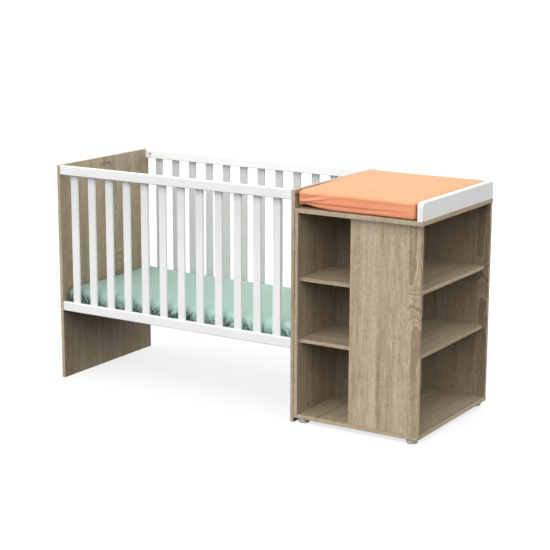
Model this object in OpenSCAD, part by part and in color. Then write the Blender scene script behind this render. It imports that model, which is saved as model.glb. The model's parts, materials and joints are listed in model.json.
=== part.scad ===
// Crib with an attached changer cabinet. All sizes in millimetres, +Z up.
// The origin is on the floor, under the middle of the whole piece of furniture.
// +X runs from the crib towards the cabinet, and the open front looks along -Y.

/* [Mattress] */
// Length of the mattress, which sets the length of the crib
mattress_l = 1200; // [1000:5:1500]
// Width of the mattress, which sets the depth of the whole piece
mattress_w = 600; // [560:5:760]
// Thickness of the mattress at its edge
mattress_t = 74; // [50:1:120]
// Gap between the mattress and each end of the crib
mattress_end_gap = 7.5; // [2:0.5:15]
// Gap between the mattress and the rails on each side
mattress_side_gap = 10; // [2:0.5:15]
// Extra height in the middle of the mattress
mattress_crown = 16; // [4:1:24]
// Inward pull of the mattress sides between the corners
mattress_pull = 7; // [0:0.5:14]
// Edge radius of the mattress
mattress_edge = 22; // [10:1:24]
// Radius of the mattress corners, seen from above
mattress_corner = 30; // [26:1:60]

/* [Crib ends] */
// Height of the ends
end_h = 987; // [940:1:1100]
// Thickness of the panels
board = 16; // [15:1:19]
// Width of the recess in the head end's inner face
recess_w = 76; // [40:2:160]
// Height of that recess
recess_h = 22; // [10:1:40]
// Depth of that recess
recess_depth = 8; // [3:0.5:10]
// Distance of the recess below the top of the end
recess_drop = 27; // [15:1:60]

/* [Rails and slats] */
// Height of the rails
rail_h = 42; // [36:1:60]
// Thickness of the rails
rail_t = 20; // [18:0.5:22]
// Distance of the rails behind the edges of the ends
rail_inset = 2; // [0:0.5:3]
// Distance of the top rails below the tops of the ends
rail_drop = 1; // [0:0.5:10]
// Height of the bottom rails' underside above the floor
low_rail_z = 318; // [250:1:340]
// Edge radius of the rails
rail_round = 4; // [1:0.5:6]
// Width of a slat
slat_w = 37; // [25:1:45]
// Thickness of a slat
slat_t = 12; // [8:0.5:13]
// Number of slats on each side
slat_count = 12; // [9:1:13]
// Gap between an end and its nearest slat
slat_end_gap = 56; // [40:1:64]
// Edge radius of a slat
slat_round = 3; // [1:0.5:5]
// Depth of the mortises that hold the slat ends
mortise = 12; // [6:1:16]

/* [Mattress base] */
// Height of the base frame's beams
base_h = 18; // [16:1:24]
// Distance of the base frame below the bottom rails
base_drop = 5; // [0:1:20]
// Gap between the base frame and the crib around it
base_gap = 3; // [1:0.5:6]
// Width of the beams at the ends of the base
base_beam_w = 40; // [30:1:60]
// Width of the battens along the sides of the base
base_side_w = 24; // [20:1:40]
// Width of a base slat
base_slat_w = 64; // [40:1:80]
// Thickness of a base slat
base_slat_t = 10; // [8:0.5:12]
// Number of base slats
base_slat_count = 11; // [8:1:13]
// Width of the rabbet that carries the slat ends
rabbet = 12; // [8:1:16]
// Side of the square cleats under the ends of the base
cleat = 20; // [16:1:26]
// Length of the cleats
cleat_l = 500; // [460:10:560]
// Distance of a cleat's outer screws from its ends
cleat_screw_edge = 40; // [20:5:80]

/* [Cabinet] */
// Width of the cabinet
cabinet_w = 580; // [540:2:700]
// Thickness of the changer top
top_t = 18; // [16:1:25]
// Distance that the changer top stands proud of the cabinet
top_overhang = 1; // [0.5:0.5:3]
// Width of the front and rear panels
front_w = 318; // [260:2:360]
// Height of the lower shelves' upper faces
shelf_low_z = 360; // [300:1:400]
// Height of the upper shelves' upper faces
shelf_high_z = 622; // [580:1:680]
// Distance of the shelf edges behind the openings
shelf_recess = 20; // [4:1:40]
// Diameter of a foot
foot_d = 46; // [36:1:56]
// Height of a foot
foot_h = 20; // [18:1:24]
// Distance of a foot's centre from the cabinet's left and right sides
foot_inset_x = 36; // [30:1:60]
// Distance of a foot's centre from the cabinet's front and back
foot_inset_y = 28; // [28:1:60]

/* [Guard and changing mat] */
// Height of the guard board, whose top is level with the crib's ends
guard_h = 76; // [60:1:100]
// Thickness of the guard board
guard_t = 24; // [18:1:28]
// Radius of the guard board's upper corners
guard_round = 20; // [8:1:36]
// Thickness of the changing mat
mat_t = 72; // [40:1:90]
// Gap between the mat and the boards at its two sides
mat_side_gap = 5; // [1:0.5:10]
// Distance of the mat behind the top's front edge
mat_front_gap = 16; // [4:1:40]
// Distance of the mat from the top's rear edge
mat_rear_gap = 8; // [4:1:40]
// Extra height in the middle of the mat
mat_crown = 4; // [1:0.5:10]
// Inward pull of the mat's sides between the corners
mat_pull = 5; // [0:0.5:10]
// Edge radius of the mat
mat_edge = 9; // [5:1:16]
// Radius of the mat's corners, seen from above
mat_corner = 16; // [10:1:30]
// Height that the mat's front left corner curls up
mat_curl = 13; // [0:1:20]
// Length along the front over which the mat curls up
mat_curl_l = 210; // [100:10:300]

/* [Fasteners] */
// Diameter of the bolts
bolt_d = 6; // [5:0.5:7]
// Length of a crib bolt under its head
bolt_l = 45; // [43:1:60]
// Diameter of a bolt head
bolt_head_d = 14; // [12:0.5:15]
// Height of a bolt head
bolt_head_h = 4; // [3:0.5:5]
// Diameter of a barrel nut
nut_d = 10; // [9:0.5:12]
// Length of a barrel nut
nut_l = 14; // [10:0.5:15]
// Distance of the barrel nuts from the rail ends
nut_reach = 25; // [18:1:35]
// Diameter of a sleeve between the crib and the cabinet
sleeve_d = 8; // [8:0.5:10]
// Distance of the connectors from the front and the back
connector_edge = 130; // [100:5:160]
// Height of the lower connectors above the lower shelf
connector_rise = 90; // [40:2:110]
// Height of the upper connectors below the upper shelf
connector_drop = 62; // [40:2:80]
// Height of the connectors' flat heads
flat_head_h = 2.5; // [1.5:0.5:3]
// Diameter of a cam lock
cam_d = 15; // [13:0.5:18]
// Depth of a cam lock
cam_h = 12; // [10:0.5:13]
// Distance of the cam locks from the panel ends
cam_reach = 24; // [20:1:40]
// Distance of the outer cam locks from the cabinet's front and back
cam_edge = 86; // [60:1:160]
// Diameter of a cam pin
cam_pin_d = 6; // [5:0.5:7]
// Diameter of a wooden dowel
dowel_d = 8; // [6:0.5:9]
// Length of a wooden dowel
dowel_l = 30; // [24:1:34]
// Distance between a dowel and the cam lock next to it
dowel_offset = 48; // [30:1:60]
// Diameter of a shelf pin
peg_d = 5; // [4:0.5:7]
// Length of a shelf pin
peg_l = 16; // [12:1:20]
// Distance of the shelf pins from the shelf corners
peg_edge = 45; // [20:1:60]
// Diameter of a wood screw
screw_d = 4; // [3:0.5:5]
// Length of a wood screw
screw_l = 30; // [27:0.5:31]

/* [Hidden] */
$fn = 40;
eps = 1;             // how far a cut runs past a face
fit = 0.1;           // clearance around a fastener or a slat end
rest_gap = 0.3;      // clearance under a soft piece
head_cone_h = 2.2;   // height of a wood screw's countersunk head
head_d = 2 * screw_d;

// Crib, from left to right and from front to back
crib_inner_l = mattress_l + 2 * mattress_end_gap;
depth = mattress_w + 2 * (mattress_side_gap + rail_t + rail_inset);
total_l = 2 * board + crib_inner_l + cabinet_w;
head_x = -total_l / 2;
crib_x0 = head_x + board;
crib_x1 = crib_x0 + crib_inner_l;
half_d = depth / 2;
rail_y = half_d - rail_inset - rail_t / 2;
inner_y = rail_y - rail_t / 2;
top_rail_z = end_h - rail_drop - rail_h;
slat_pitch = (crib_inner_l - 2 * slat_end_gap - slat_w) / (slat_count - 1);
slat_z0 = low_rail_z + rail_h - mortise;
slat_z1 = top_rail_z + mortise;

// Mattress base
base_z = low_rail_z - base_drop;
base_top = base_z + base_h;
base_l = crib_inner_l - 2 * base_gap;
base_y = inner_y - base_gap;
beam_y = base_y - base_side_w;
base_span = base_l - 2 * base_beam_w;
base_slat_gap = (base_span - base_slat_count * base_slat_w) / (base_slat_count + 1);

// Cabinet
cab_x0 = crib_x1 + board;
cab_x1 = cab_x0 + cabinet_w;
side_x = cab_x1 - top_overhang;
carc_y = half_d - top_overhang;
carc_z0 = foot_h + board;
top_z = end_h - guard_h;
carc_z1 = top_z - top_t;
carc_h = carc_z1 - carc_z0;
niche_x0 = cab_x0 + board;
front_x0 = side_x - front_w;
side_room_x0 = front_x0 + board;
niche_w = front_x0 - niche_x0;
guard_x0 = cab_x1 - guard_t;

// Fasteners
bolt_sink = bolt_head_h + 1;
nut_pocket = nut_l + 3;
base_fix_x = (base_gap + cleat) / 2;
connector_y = half_d - connector_edge;
connector_low_z = shelf_low_z + connector_rise;
connector_high_z = shelf_high_z - connector_drop;

wood = "#b3a288";
wood_dark = "#a39379";
white = "#f1f1ef";
pine = "#d8c39a";
zinc = "#b8bcc0";
plastic = "#b9babb";

function slat_name(side, i) = str(side, "_slat_", i < 10 ? "0" : "", i);

// ---- Shapes used by several pieces ----

// A box between two opposite corners.
module block(low, high) {
    translate(low) cube(high - low);
}

// A rectangle with round corners, centred.
module rounded_rect(w, h, r) {
    square([w - 2 * r, h], center = true);
    square([w, h - 2 * r], center = true);
    for (x = [-1, 1], y = [-1, 1])
        translate([x * (w / 2 - r), y * (h / 2 - r)]) circle(r);
}

// A wood screw along +Z, its flat head at z = 0. grow widens it into its own hole.
module screw(grow = 0) {
    rotate_extrude()
        polygon([[0, 0], [head_d / 2 + grow, 0], [screw_d / 2 + grow, head_cone_h],
                 [screw_d / 2 + grow, screw_l - screw_d + grow], [0, screw_l + grow]]);
}

// The hole for a wood screw, open above its head.
module screw_hole() {
    screw(fit);
    translate([0, 0, -eps]) cylinder(d = head_d + 2 * fit, h = eps);
}

// ---- Where the fasteners go: each module puts its children at every such place ----

// Crib bolts, along +Z from the outer face of an end into a rail.
module at_crib_bolts() {
    for (side = [-1, 1], z = [low_rail_z, top_rail_z]) {
        translate([head_x, side * rail_y, z + rail_h / 2]) rotate([0, 90, 0]) children();
        translate([cab_x0, side * rail_y, z + rail_h / 2]) rotate([0, -90, 0]) children();
    }
}

// Barrel nuts, along +Z from a rail's inner face outwards.
module at_barrel_nuts() {
    for (side = [-1, 1], z = [low_rail_z, top_rail_z], x = [crib_x0 + nut_reach, crib_x1 - nut_reach])
        translate([x, side * inner_y, z + rail_h / 2]) rotate([-90 * side, 0, 0]) children();
}

// Connectors between the crib's foot end and the cabinet, along +Z from the middle of the joint.
module at_connectors() {
    for (side = [-1, 1], z = [connector_low_z, connector_high_z])
        translate([cab_x0, side * connector_y, z]) rotate([0, 90, 0]) children();
}

// Upright cabinet panels: [x, y, direction of the face that holds the cam locks].
cam_spots = [
    [cab_x0 + board / 2, -(carc_y - cam_edge), 0],
    [cab_x0 + board / 2, carc_y - cam_edge, 0],
    [side_x - front_w / 2, -(carc_y - board / 2), 90],
    [side_x - front_w / 2, carc_y - board / 2, -90],
    [front_x0 + board / 2, -(carc_y - cam_edge), 0],
    [front_x0 + board / 2, carc_y - cam_edge, 0],
    [niche_x0 + niche_w / 2, 0, 90]
];

// Both ends of the upright panels, +Z from the joint along the panel, +X out of the cam's face.
module at_cams() {
    for (spot = cam_spots, end = [0, 1])
        translate([spot.x, spot.y, carc_z0 + end * carc_h])
            rotate([0, 0, spot.z]) rotate([180 * end, 0, 0]) children();
}

// Dowels on both sides of each cam lock.
module at_panel_dowels() {
    at_cams() for (side = [-1, 1]) translate([0, side * dowel_offset, 0]) children();
}

// Dowels in the corners of the mattress base, along +Z from a batten into a beam.
module at_base_dowels() {
    for (side = [-1, 1], x = [crib_x0 + base_gap + base_beam_w / 2, crib_x1 - base_gap - base_beam_w / 2])
        translate([x, side * beam_y, base_z + base_h / 2]) rotate([90 * side, 0, 0]) children();
}

// Shelf pins in the walls of the niches, along +Z out of the wall, under one shelf.
module at_niche_pins(side, z) {
    for (y = [peg_edge, carc_y - shelf_recess - peg_edge]) {
        translate([niche_x0, side * y, z - board - peg_d / 2]) rotate([0, 90, 0]) children();
        translate([front_x0, side * y, z - board - peg_d / 2]) rotate([0, -90, 0]) children();
    }
}

// Shelf pins in the front and rear panels, under one shelf of the side opening.
module at_side_pins(z) {
    for (side = [-1, 1], x = [side_room_x0 + peg_edge, side_x - shelf_recess - peg_edge])
        translate([x, side * (carc_y - board), z - board - peg_d / 2])
            rotate([90 * side, 0, 0]) children();
}

module at_shelf_pins() {
    for (z = [shelf_low_z, shelf_high_z]) {
        for (side = [-1, 1]) at_niche_pins(side, z) children();
        at_side_pins(z) children();
    }
}

module at_feet() {
    for (x = [cab_x0 + foot_inset_x, side_x - foot_inset_x], side = [-1, 1])
        translate([x, side * (carc_y - foot_inset_y), 0]) children();
}

// Screws up through the changer top into the guard board.
module at_guard_screws() {
    for (y = [-3, -1, 1, 3] * depth / 8) translate([cab_x1 - guard_t / 2, y, carc_z1]) children();
}

// Screws through the cleats into the crib's ends.
module at_cleat_screws() {
    for (y = [-1, 0, 1] * (cleat_l / 2 - cleat_screw_edge)) {
        translate([crib_x0 + cleat, y, base_z - cleat / 2]) rotate([0, -90, 0]) children();
        translate([crib_x1 - cleat, y, base_z - cleat / 2]) rotate([0, 90, 0]) children();
    }
}

// Screws down through the base's end beams into the cleats.
module at_base_screws() {
    for (x = [crib_x0 + base_fix_x, crib_x1 - base_fix_x], y = [-1, 1] * cleat_l / 4)
        translate([x, y, base_top]) rotate([180, 0, 0]) children();
}

// Screws up through the feet.
module at_foot_screws() {
    at_feet() translate([0, 0, foot_h + board - 2 - screw_l]) children();
}

// ---- Crib ----

// One end of the crib, before the joints that only one end has.
module crib_end(x) {
    difference() {
        block([x, -half_d, 0], [x + board, half_d, end_h]);
        at_crib_bolts() {
            translate([0, 0, -eps]) cylinder(d = bolt_head_d + 1, h = bolt_sink + eps);
            cylinder(d = bolt_d + 2 * fit, h = board + eps);
        }
        at_cleat_screws() screw_hole();
    }
}

module head_end_panel() {
    color(wood) difference() {
        crib_end(head_x);
        block([crib_x0 - recess_depth, -recess_w / 2, end_h - recess_drop - recess_h],
              [crib_x0 + eps, recess_w / 2, end_h - recess_drop]);
    }
}

module foot_end_panel() {
    color(wood) difference() {
        crib_end(crib_x1);
        at_connectors() translate([0, 0, -board - eps])
            cylinder(d = sleeve_d + 2 * fit, h = board + 2 * eps);
    }
}

// A rail on one side (-1 front, 1 back), with mortises in its upper or lower face.
module rail(side, z, mortise_z) {
    color(white) difference() {
        translate([crib_x0, side * rail_y, z + rail_h / 2])
            rotate([90, 0, 90]) linear_extrude(crib_inner_l) rounded_rect(rail_t, rail_h, rail_round);
        for (i = [1:slat_count])
            translate([slat_x(i), side * rail_y, mortise_z])
                cube([slat_w + 2 * fit, slat_t + 2 * fit, 2 * mortise], center = true);
        at_crib_bolts() cylinder(d = bolt_d + 2 * fit, h = bolt_sink + bolt_l + 2);
        at_barrel_nuts() translate([0, 0, -eps]) cylinder(d = nut_d + 2 * fit, h = nut_pocket + eps);
    }
}

function slat_x(i) = crib_x0 + slat_end_gap + slat_w / 2 + (i - 1) * slat_pitch;

// Slat i, counted from the crib's head end.
module slat(i, side) {
    color(white) translate([slat_x(i), side * rail_y, slat_z0])
        linear_extrude(slat_z1 - slat_z0 - fit) rounded_rect(slat_w, slat_t, slat_round);
}

// ---- Mattress base ----

module base_side_battens() {
    color(pine) for (side = [-1, 1]) difference() {
        block([crib_x0 + base_gap, min(side * base_y, side * beam_y), base_z],
              [crib_x1 - base_gap, max(side * base_y, side * beam_y), base_top]);
        translate([crib_x0 + base_gap + base_beam_w, side * beam_y - rabbet, base_top - base_slat_t])
            cube([base_span, 2 * rabbet, base_slat_t + eps]);
        at_base_dowels() dowel(fit);
    }
}

module base_end_beams() {
    color(pine) for (x = [crib_x0 + base_gap, crib_x1 - base_gap - base_beam_w]) difference() {
        block([x, -beam_y, base_z], [x + base_beam_w, beam_y, base_top]);
        at_base_dowels() dowel(fit);
        at_base_screws() screw_hole();
    }
}

module base_slats() {
    color(pine) for (i = [0:base_slat_count - 1])
        translate([crib_x0 + base_gap + base_beam_w + base_slat_gap + i * (base_slat_w + base_slat_gap),
                   -(beam_y + rabbet - fit), base_top - base_slat_t])
            cube([base_slat_w, 2 * (beam_y + rabbet - fit), base_slat_t]);
}

module base_cleats() {
    color(pine) for (x = [crib_x0, crib_x1 - cleat]) difference() {
        block([x, -cleat_l / 2, base_z - cleat], [x + cleat, cleat_l / 2, base_z]);
        at_cleat_screws() screw_hole();
        at_base_screws() screw_hole();
    }
}

// ---- Soft pieces ----

corner_steps = 4;
side_steps = 10;
edge_steps = 3;
top_rings = 6;

// Points along one side of a cushion, from corner arc to corner arc. The side of length span lies
// at distance reach from the middle, and is pulled in by pull halfway.
function side_points(span, reach, r, pull) = concat(
    [for (k = [0:corner_steps - 1]) let (a = 45 - 45 * k / corner_steps)
        [reach - r + r * cos(a), -span / 2 + r - r * sin(a)]],
    [for (k = [0:side_steps]) let (s = 2 * k / side_steps - 1)
        [reach - pull * (1 - s * s), s * (span / 2 - r)]],
    [for (k = [1:corner_steps - 1]) let (a = 45 * k / corner_steps)
        [reach - r + r * cos(a), span / 2 - r + r * sin(a)]]);

function turn(points, a) = [for (p = points) [p.x * cos(a) - p.y * sin(a), p.x * sin(a) + p.y * cos(a)]];

// The whole outline, anticlockwise, drawn in by inset all round.
function cushion_outline(l, w, r, pull, inset) = let (a = l - 2 * inset, b = w - 2 * inset) concat(
    side_points(b, a / 2, r, pull), turn(side_points(a, b / 2, r, pull), 90),
    turn(side_points(b, a / 2, r, pull), 180), turn(side_points(a, b / 2, r, pull), 270));

// Height of the crown above the edge, 0 at the edge and 1 in the middle.
function crown_at(p, l, w) = (1 - pow(min(1, abs(2 * p.x / l)), 4)) * (1 - pow(min(1, abs(2 * p.y / w)), 4));

// A share of the curl, 1 at the front left corner and 0 past its length.
function curl_at(p, l, w, curl_l) = curl_l == 0 ? 0 :
    pow(max(0, 1 - (p.x + l / 2) / curl_l), 1.5) * pow(max(0, 1 - 1.2 * (p.y + w / 2) / curl_l), 1.5);

// A closed cushion standing on z = 0: rounded edges, drawn-in sides and a crowned top.
module cushion(l, w, h, r, edge, pull, crown, curl = 0, curl_l = 0) {
    profile = concat(
        [for (k = [0:edge_steps]) let (a = 90 * k / edge_steps) [edge * (1 - sin(a)), edge * (1 - cos(a))]],
        [for (k = [0:edge_steps]) let (a = 90 * k / edge_steps) [edge * (1 - cos(a)), h - edge * (1 - sin(a))]]);
    skin = [for (ring = profile) [for (p = cushion_outline(l, w, r, pull, ring.x)) [p.x, p.y, ring.y]]];
    last = cushion_outline(l, w, r, pull, edge);
    crowned = [for (k = [1:top_rings - 1]) let (s = 1 - k / top_rings) [for (p = last * s) [p.x, p.y, h]]];
    rings = concat(skin, crowned);
    n = len(last);
    lifted = [for (ring = rings, p = ring)
        [p.x, p.y, p.z * (1 - curl * curl_at(p, l, w, curl_l) / h) + curl * curl_at(p, l, w, curl_l)
                   + (p.z == h ? crown * crown_at(p, l - 2 * edge, w - 2 * edge) : 0)]];
    points = concat([[0, 0, 0]], lifted, [[0, 0, h + crown]]);
    top = len(points) - 1;
    faces = concat(
        [for (i = [0:n - 1]) [0, 1 + i, 1 + (i + 1) % n]],
        [for (k = [0:len(rings) - 2], i = [0:n - 1]) let (a = 1 + k * n + i, b = 1 + k * n + (i + 1) % n)
            [a, a + n, b]],
        [for (k = [0:len(rings) - 2], i = [0:n - 1]) let (a = 1 + k * n + i, b = 1 + k * n + (i + 1) % n)
            [b, a + n, b + n]],
        [for (i = [0:n - 1]) [1 + (len(rings) - 1) * n + i, top, 1 + (len(rings) - 1) * n + (i + 1) % n]]);
    polyhedron(points, faces);
}

module mattress() {
    color("#b2d4c3") translate([(crib_x0 + crib_x1) / 2, 0, base_top + rest_gap])
        cushion(mattress_l, mattress_w, mattress_t, mattress_corner, mattress_edge, mattress_pull, mattress_crown);
}

module changing_mat() {
    mat_l = guard_x0 - cab_x0 - 2 * mat_side_gap;
    mat_w = depth - mat_front_gap - mat_rear_gap;
    color("#fdc594") translate([cab_x0 + mat_side_gap + mat_l / 2, (mat_front_gap - mat_rear_gap) / 2, top_z + rest_gap])
        cushion(mat_l, mat_w, mat_t, mat_corner, mat_edge, mat_pull, mat_crown, mat_curl, mat_curl_l);
}

// ---- Cabinet ----

// The holes that the cam locks, their pins and the dowels need, seen from an upright panel.
module cam_pockets() {
    at_cams() {
        translate([board / 2 + eps, 0, cam_reach]) rotate([0, -90, 0])
            cylinder(d = cam_d + 2 * fit, h = cam_h + fit + eps);
        translate([0, 0, -top_t]) cylinder(d = cam_pin_d + 2 * fit, h = top_t + cam_reach);
    }
    at_panel_dowels() dowel(fit);
}

module cabinet_side_panel() {
    color(wood_dark) difference() {
        block([cab_x0, -carc_y, carc_z0], [niche_x0, carc_y, carc_z1]);
        cam_pockets();
        at_connectors() translate([0, 0, -eps]) cylinder(d = sleeve_d + 2 * fit, h = board + 2 * eps);
        at_shelf_pins() peg(fit);
    }
}

module cabinet_top() {
    color(wood) difference() {
        block([cab_x0, -half_d, carc_z1], [cab_x1, half_d, top_z]);
        at_cams() cam_pin(fit);
        at_panel_dowels() dowel(fit);
        at_guard_screws() screw_hole();
    }
}

module cabinet_bottom() {
    color(wood) difference() {
        block([cab_x0, -carc_y, foot_h], [side_x, carc_y, carc_z0]);
        at_cams() cam_pin(fit);
        at_panel_dowels() dowel(fit);
        at_foot_screws() screw_hole();
    }
}

// The front (-1) or rear (1) panel.
module face_panel(side) {
    color(wood) difference() {
        block([front_x0, min(side * carc_y, side * (carc_y - board)), carc_z0],
              [side_x, max(side * carc_y, side * (carc_y - board)), carc_z1]);
        cam_pockets();
        at_shelf_pins() peg(fit);
    }
}

module long_divider() {
    color(wood_dark) difference() {
        block([front_x0, -(carc_y - board), carc_z0], [side_room_x0, carc_y - board, carc_z1]);
        cam_pockets();
        at_shelf_pins() peg(fit);
    }
}

module niche_divider() {
    color(wood_dark) difference() {
        block([niche_x0, -board / 2, carc_z0], [front_x0, board / 2, carc_z1]);
        cam_pockets();
    }
}

// A shelf of the front (-1) or rear (1) niche, its upper face at height z.
module niche_shelf(side, z) {
    near = side * board / 2;
    far = side * (carc_y - shelf_recess);
    color(wood) block([niche_x0, min(near, far), z - board], [front_x0, max(near, far), z]);
}

module side_shelf(z) {
    color(wood) block([side_room_x0, -(carc_y - board), z - board],
                      [side_x - shelf_recess, carc_y - board, z]);
}

module guard_board() {
    color(white) difference() {
        translate([guard_x0, 0, top_z]) rotate([90, 0, 90]) linear_extrude(guard_t) {
            translate([-half_d, 0]) square([depth, guard_h - guard_round]);
            translate([-half_d + guard_round, 0]) square([depth - 2 * guard_round, guard_h]);
            for (side = [-1, 1])
                translate([side * (half_d - guard_round), guard_h - guard_round]) circle(guard_round);
        }
        at_guard_screws() screw_hole();
    }
}

module cabinet_feet() {
    rim = 2;
    color(plastic) difference() {
        at_feet() rotate_extrude()
            polygon([[0, 0], [foot_d / 2 - rim, 0], [foot_d / 2, rim], [foot_d / 2, foot_h], [0, foot_h]]);
        at_foot_screws() {
            screw_hole();
            translate([0, 0, -foot_h]) cylinder(d = head_d + 2 * fit, h = foot_h);
        }
    }
}

// ---- Fasteners ----

module crib_bolts() {
    color(zinc) at_crib_bolts() difference() {
        union() {
            translate([0, 0, 1]) cylinder(d = bolt_head_d, h = bolt_head_h);
            cylinder_from(bolt_d, bolt_sink, bolt_sink + bolt_l);
        }
        cylinder(d = 5, h = bolt_head_h, $fn = 6);
    }
}

// A cylinder along +Z between two heights, sunk a little into what lies before it.
module cylinder_from(d, low, high) {
    translate([0, 0, low - 0.5]) cylinder(d = d, h = high - low + 0.5);
}

module barrel_nuts() {
    cross_hole_d = bolt_d + 2 * fit;
    color(zinc) at_barrel_nuts() translate([0, 0, nut_pocket - nut_l]) difference() {
        cylinder(d = nut_d, h = nut_l);
        translate([0, 0, rail_t / 2 - nut_pocket + nut_l]) rotate([0, 90, 0])
            cylinder(d = cross_hole_d, h = 2 * nut_d, center = true);
    }
}

// The bolt comes from the cabinet's side and turns into the sleeve, which comes from the crib's.
module connector_bolts() {
    color(zinc) at_connectors() difference() {
        union() {
            translate([0, 0, board]) cylinder(d = bolt_head_d, h = flat_head_h);
            cylinder_from(bolt_d, -board / 2, board + 0.5);
        }
        translate([0, 0, board + flat_head_h / 2]) cylinder(d = 5, h = flat_head_h, $fn = 6);
    }
}

module connector_sleeves() {
    color(zinc) at_connectors() difference() {
        union() {
            translate([0, 0, -board - flat_head_h]) cylinder(d = bolt_head_d, h = flat_head_h);
            cylinder_from(sleeve_d, -board, board - 3);
        }
        translate([0, 0, -board / 2 - 2]) cylinder(d = bolt_d + 2 * fit, h = 2 * board);
        translate([0, 0, -board - 1.5 * flat_head_h]) cylinder(d = 5, h = flat_head_h, $fn = 6);
    }
}

module cam_locks() {
    color(zinc) at_cams() difference() {
        translate([board / 2, 0, cam_reach]) rotate([0, -90, 0]) cylinder(d = cam_d, h = cam_h);
        cylinder(d = cam_pin_d + 2 * fit, h = cam_reach + cam_pin_d / 2 + fit);
        for (size = [[3, 2, cam_d - 5], [3, cam_d - 5, 2]])
            translate([board / 2, 0, cam_reach]) cube(size, center = true);
    }
}

// A cam pin along +Z, its thread below z = 0 in the top or the bottom panel.
module cam_pin(grow = 0) {
    thread_l = 11;
    translate([0, 0, -thread_l - grow]) cylinder(d = cam_pin_d + 2 * grow, h = thread_l + cam_reach);
}

module cam_pins() {
    color(zinc) at_cams() cam_pin();
}

// A dowel along +Z, a third of it below the joint.
module dowel(grow = 0) {
    translate([0, 0, -dowel_l / 3 - grow]) cylinder(d = dowel_d + 2 * grow, h = dowel_l + 2 * grow);
}

module dowels() {
    color(pine) {
        at_panel_dowels() dowel();
        at_base_dowels() dowel();
    }
}

// A shelf pin along +Z, half of it in the wall.
module peg(grow = 0) {
    translate([0, 0, -peg_l / 2 - grow]) cylinder(d = peg_d + 2 * grow, h = peg_l + grow);
}

module shelf_pins() {
    color(zinc) at_shelf_pins() peg();
}

module wood_screws() {
    color(zinc) {
        at_guard_screws() screw();
        at_cleat_screws() screw();
        at_base_screws() screw();
        at_foot_screws() screw();
    }
}

// ---- The nodes ----

head_end_panel();
foot_end_panel();
rail(-1, top_rail_z, top_rail_z);  // front_top_rail
rail(-1, low_rail_z, low_rail_z + rail_h);  // front_bottom_rail
rail(1, top_rail_z, top_rail_z);  // back_top_rail
rail(1, low_rail_z, low_rail_z + rail_h);  // back_bottom_rail
for (i = [1:slat_count]) slat(i, -1);
for (i = [1:slat_count]) slat(i, 1);
base_side_battens();
base_end_beams();
base_slats();
base_cleats();
mattress();
cabinet_side_panel();
cabinet_top();
cabinet_bottom();
face_panel(-1);  // front_panel
face_panel(1);  // rear_panel
long_divider();
niche_divider();
niche_shelf(-1, shelf_low_z);  // front_niche_shelf_low
niche_shelf(-1, shelf_high_z);  // front_niche_shelf_high
niche_shelf(1, shelf_low_z);  // rear_niche_shelf_low
niche_shelf(1, shelf_high_z);  // rear_niche_shelf_high
side_shelf(shelf_low_z);  // side_shelf_low
side_shelf(shelf_high_z);  // side_shelf_high
guard_board();
changing_mat();
cabinet_feet();
crib_bolts();
barrel_nuts();
connector_bolts();
connector_sleeves();
cam_locks();
cam_pins();
dowels();
shelf_pins();
wood_screws();
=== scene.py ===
# %% [markdown]
# # A slatted crib with an attached changer
#
# The furniture is already solid. A CAD model gives every board, rail, slat, bolt and foot its true
# size and its place in metres, and it arrives here as the frame that nothing in Blender may move.
# Blender's part is what the eye sees: eased board edges, oak grain, lacquer, and above all the two
# soft pieces, which no CAD solid shows well.

# %% Load the solid model
import json
import math

import bmesh
import bpy
import numpy as np
from mathutils import Matrix, Vector, noise

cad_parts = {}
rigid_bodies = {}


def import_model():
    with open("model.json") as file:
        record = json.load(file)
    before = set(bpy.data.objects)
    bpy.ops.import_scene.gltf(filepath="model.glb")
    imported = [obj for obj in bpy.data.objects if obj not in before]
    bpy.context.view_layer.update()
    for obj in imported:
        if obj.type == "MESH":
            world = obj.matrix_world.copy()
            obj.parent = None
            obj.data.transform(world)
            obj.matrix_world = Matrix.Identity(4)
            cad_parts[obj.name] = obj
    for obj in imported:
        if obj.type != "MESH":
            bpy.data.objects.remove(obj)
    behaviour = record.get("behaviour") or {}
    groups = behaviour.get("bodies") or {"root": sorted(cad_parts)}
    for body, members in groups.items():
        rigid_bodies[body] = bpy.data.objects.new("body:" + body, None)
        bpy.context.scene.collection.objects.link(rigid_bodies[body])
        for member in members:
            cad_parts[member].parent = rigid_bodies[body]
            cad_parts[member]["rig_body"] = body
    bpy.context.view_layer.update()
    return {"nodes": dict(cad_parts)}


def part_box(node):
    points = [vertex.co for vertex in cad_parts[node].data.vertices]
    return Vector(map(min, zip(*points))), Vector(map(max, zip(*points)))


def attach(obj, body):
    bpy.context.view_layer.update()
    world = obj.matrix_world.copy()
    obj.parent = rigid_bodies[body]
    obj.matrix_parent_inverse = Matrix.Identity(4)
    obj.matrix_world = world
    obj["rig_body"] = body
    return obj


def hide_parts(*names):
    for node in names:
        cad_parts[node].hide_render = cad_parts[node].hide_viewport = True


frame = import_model()
nodes = frame["nodes"]
MM = 0.001

# %% [markdown]
# ## The camera
#
# The viewpoint comes from lines in the picture whose real lengths are known: board edges, slats
# and shelves. A camera could be aimed by eye, but then no edge would quite fall where it should.
# Here it is placed by numbers: where it stands, how far it is turned round the upright axis, how
# far it looks down, and a small roll. Rotations multiply from the right, so the roll comes first.

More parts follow.
